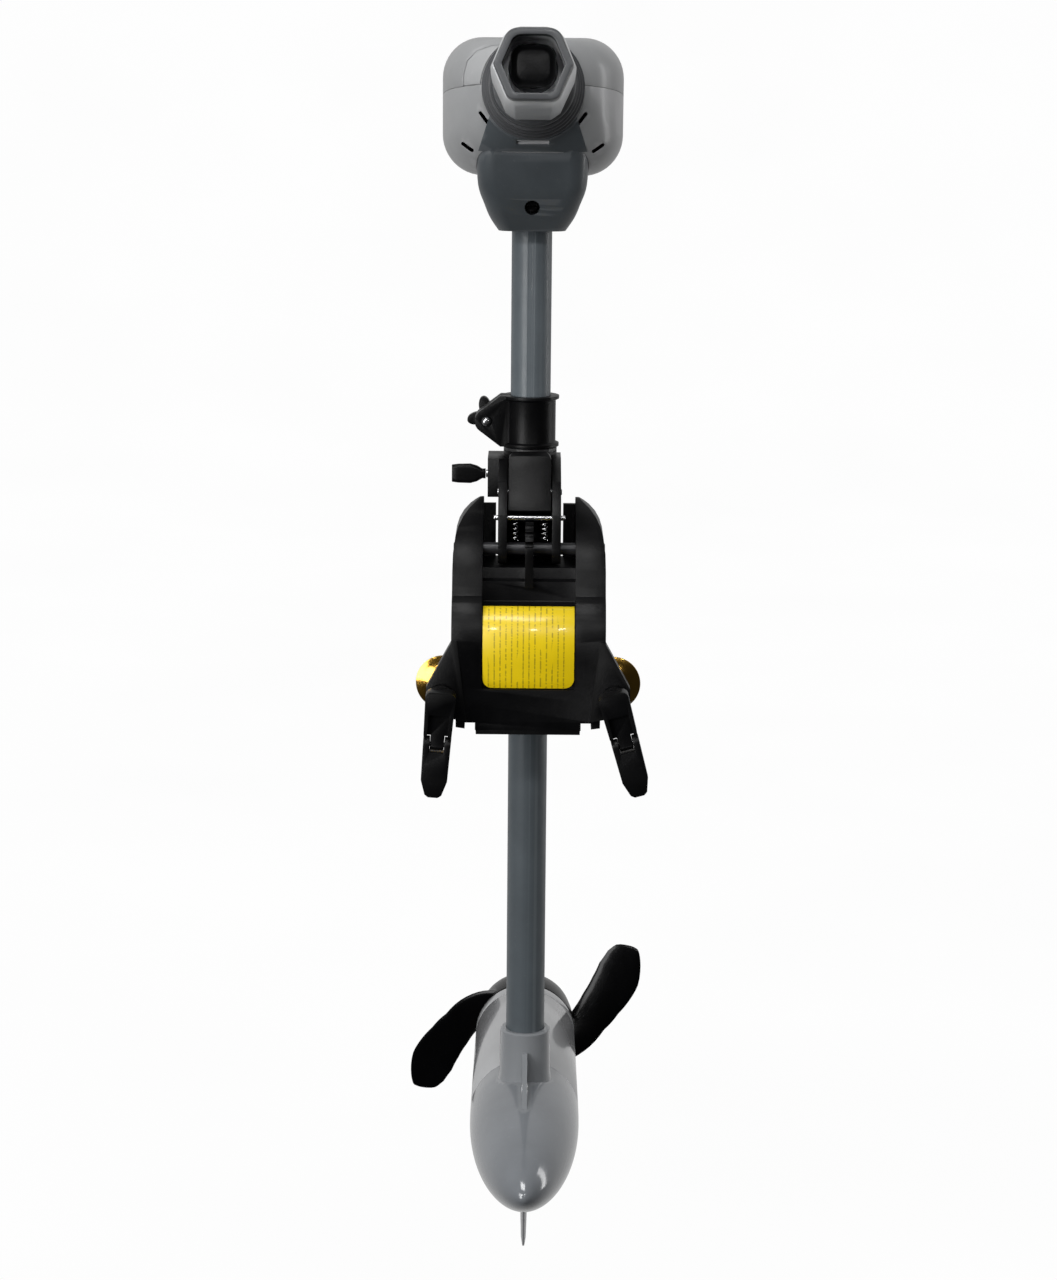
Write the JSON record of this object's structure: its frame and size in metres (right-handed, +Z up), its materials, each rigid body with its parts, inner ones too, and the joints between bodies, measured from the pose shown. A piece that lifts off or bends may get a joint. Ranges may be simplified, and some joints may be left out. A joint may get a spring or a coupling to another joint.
{
  "type": "trolling motor",
  "caption": "Transom-mount electric outboard: control head with a twist-grip tiller, straight shaft, clamp-on tilting bracket, torpedo-shaped motor and swept propeller.",
  "frame": {"origin": "middle of the transom seat, the flat face under the bracket hook that rests on top of the transom", "axes": "+Z up along the shaft, -Y into the boat along the tiller, +X to the right for someone in the boat facing aft"},
  "size_m": [0.202, 0.5284, 0.9616],
  "materials": {
    "head_plastic": "satin light grey",
    "panel_plastic": "satin pale grey",
    "neck_plastic": "satin slate grey",
    "shaft_composite": "satin slate grey composite",
    "black_plastic": "fine-grained black",
    "grip_silver": "silver grey",
    "dark_grey_plastic": "satin dark grey",
    "boot_rubber": "matt dark grey",
    "bush_plastic": "black acetal",
    "steel": "stainless",
    "rod_steel": "blackened",
    "zinc_yellow": "yellow zinc plate",
    "label_yellow": "glossy yellow, blank",
    "pod_paint": "gloss light grey",
    "nose_paint": "gloss blue-grey paint",
    "skeg_plastic": "light grey",
    "prop_plastic": "gloss black",
    "ferrite": "dark grey ferrite",
    "copper": "copper windings and bars",
    "carbon": "carbon",
    "cable_pvc": "black sheath"
  },
  "bodies": {
    "bracket": {"transom_bracket": "black_plastic", "tilt_pivot_rod": "rod_steel", "label_plate": "label_yellow"},
    "swivel": {"swivel_housing": "black_plastic", "upper_bush": "bush_plastic", "lower_bush": "bush_plastic", "lever_pin": "steel", "lock_spring_left": "steel", "lock_spring_right": "steel"},
    "tilt_lever": {"tilt_lever": "black_plastic"},
    "lock_pin": {"lock_pin": "steel"},
    "tension_screw": {"tension_screw": "steel"},
    "tension_knob": {"tension_knob": "black_plastic"},
    "collar": {"depth_collar": "black_plastic", "collar_bolt": "steel"},
    "collar_knob": {"collar_knob": "black_plastic"},
    "lower_unit": {"shaft_tube": "shaft_composite", "motor_leads": "cable_pvc", "neck": "neck_plastic", "neck_screw": "rod_steel", "head_lower": "head_plastic", "head_cover": "head_plastic", "cover_panel": "panel_plastic", "cord_gland": "black_plastic", "speed_switch": "black_plastic", "tiller_boot": "boot_rubber", "nose_housing": "nose_paint", "motor_can": "pod_paint", "rear_bell": "pod_paint", "through_bolt_left": "steel", "through_bolt_right": "steel", "skeg": "skeg_plastic", "magnet_upper": "ferrite", "magnet_lower": "ferrite", "front_bearing": "steel", "rear_bearing": "steel", "shaft_seal": "boot_rubber", "brush_left": "carbon", "brush_right": "carbon"},
    "tiller": {"tiller_arm": "dark_grey_plastic"},
    "extension": {"extension_tube": "steel", "grip_plug": "black_plastic"},
    "grip": {"tiller_grip": "grip_silver", "grip_bezel": "dark_grey_plastic"},
    "rotor": {"armature": "copper", "commutator": "copper", "motor_shaft": "steel", "propeller": "prop_plastic", "shear_pin": "steel", "prop_nut": "steel"},
    "pad_left": {"clamp_pad_left": "zinc_yellow"},
    "screw_left": {"clamp_screw_left": "steel", "clamp_hub_left": "black_plastic", "clamp_hinge_pin_left": "steel"},
    "paddle_left": {"clamp_paddle_left": "black_plastic"},
    "pad_right": {"clamp_pad_right": "zinc_yellow"},
    "screw_right": {"clamp_screw_right": "steel", "clamp_hub_right": "black_plastic", "clamp_hinge_pin_right": "steel"},
    "paddle_right": {"clamp_paddle_right": "black_plastic"}
  },
  "joints": [
    {"name": "motor_tilt", "type": "hinge", "parent": "bracket", "child": "swivel", "pos_m": [0, 0, 0.049], "axis": [1, 0, 0], "range_deg": [0, 75]},
    {"name": "steering", "type": "hinge", "parent": "swivel", "child": "collar", "pos_m": [0, 0.072, 0.134], "axis": [0, 0, 1], "continuous": true},
    {"name": "depth_slide", "type": "slide", "parent": "collar", "child": "lower_unit", "axis": [0, 0, 1], "range_m": [-0.12, 0.2]},
    {"name": "collar_knob_turn", "type": "hinge", "parent": "collar", "child": "collar_knob", "pos_m": [-0.033, 0.0825, 0.134], "axis": [0, -1, 0], "range_deg": [0, 540]},
    {"name": "tension_screw_slide", "type": "slide", "parent": "swivel", "child": "tension_screw", "axis": [1, 0, 0], "range_m": [-0.005, 0]},
    {"name": "tension_knob_turn", "type": "hinge", "parent": "tension_screw", "child": "tension_knob", "pos_m": [-0.0335, 0.072, 0.093], "axis": [1, 0, 0], "range_deg": [-1440, 0]},
    {"name": "tilt_lever_pull", "type": "hinge", "parent": "swivel", "child": "tilt_lever", "pos_m": [0, 0.016, 0.0885], "axis": [-1, 0, 0], "range_deg": [0, 14], "stiffness_Nm_per_rad": 0.4, "springref_deg": -17.19},
    {"name": "lock_pin_lift", "type": "slide", "parent": "swivel", "child": "lock_pin", "axis": [0, 0, 1], "range_m": [0, 0.0031], "deforming": ["lock_spring_left", "lock_spring_right"]},
    {"name": "tiller_tilt", "type": "hinge", "parent": "lower_unit", "child": "tiller", "pos_m": [0, 0.002, 0.37843], "axis": [-1, 0, 0], "range_deg": [0, 25], "deforming": ["tiller_boot"]},
    {"name": "tiller_extend", "type": "slide", "parent": "tiller", "child": "extension", "axis": [0, -0.9941, 0.1084], "range_m": [0, 0.06]},
    {"name": "grip_twist", "type": "hinge", "parent": "extension", "child": "grip", "pos_m": [0, -0.056, 0.38475], "axis": [0, -0.9941, 0.1084], "range_deg": [-75, 75]},
    {"name": "propeller_spin", "type": "hinge", "parent": "lower_unit", "child": "rotor", "pos_m": [0, 0.072, -0.4305], "axis": [0, -1, 0], "continuous": true},
    {"name": "clamp_slide_left", "type": "slide", "parent": "bracket", "child": "pad_left", "axis": [0, 1, 0], "range_m": [-0.028, 0.0095]},
    {"name": "clamp_turn_left", "type": "hinge", "parent": "pad_left", "child": "screw_left", "pos_m": [-0.063, 0.004, -0.053], "axis": [0, 1, 0], "range_deg": [-3361, 1141]},
    {"name": "clamp_fold_left", "type": "hinge", "parent": "screw_left", "child": "paddle_left", "pos_m": [-0.06523, -0.069, -0.08192], "axis": [-0.9971, 0, 0.0767], "range_deg": [0, 90]},
    {"name": "clamp_slide_right", "type": "slide", "parent": "bracket", "child": "pad_right", "axis": [0, 1, 0], "range_m": [-0.028, 0.0095]},
    {"name": "clamp_turn_right", "type": "hinge", "parent": "pad_right", "child": "screw_right", "pos_m": [0.063, 0.004, -0.053], "axis": [0, 1, 0], "range_deg": [-3361, 1141]},
    {"name": "clamp_fold_right", "type": "hinge", "parent": "screw_right", "child": "paddle_right", "pos_m": [0.07075, -0.069, -0.08095], "axis": [-0.9636, 0, -0.2672], "range_deg": [0, 90]}
  ],
  "couplings": [
    {"joint": "tension_knob_turn", "follows": "tension_screw_slide", "rad_per_m": 5026.5},
    {"joint": "lock_pin_lift", "follows": "tilt_lever_pull", "m_per_rad": 0.0125},
    {"joint": "clamp_turn_left", "follows": "clamp_slide_left", "rad_per_m": 2094.4},
    {"joint": "clamp_turn_right", "follows": "clamp_slide_right", "rad_per_m": 2094.4}
  ]
}
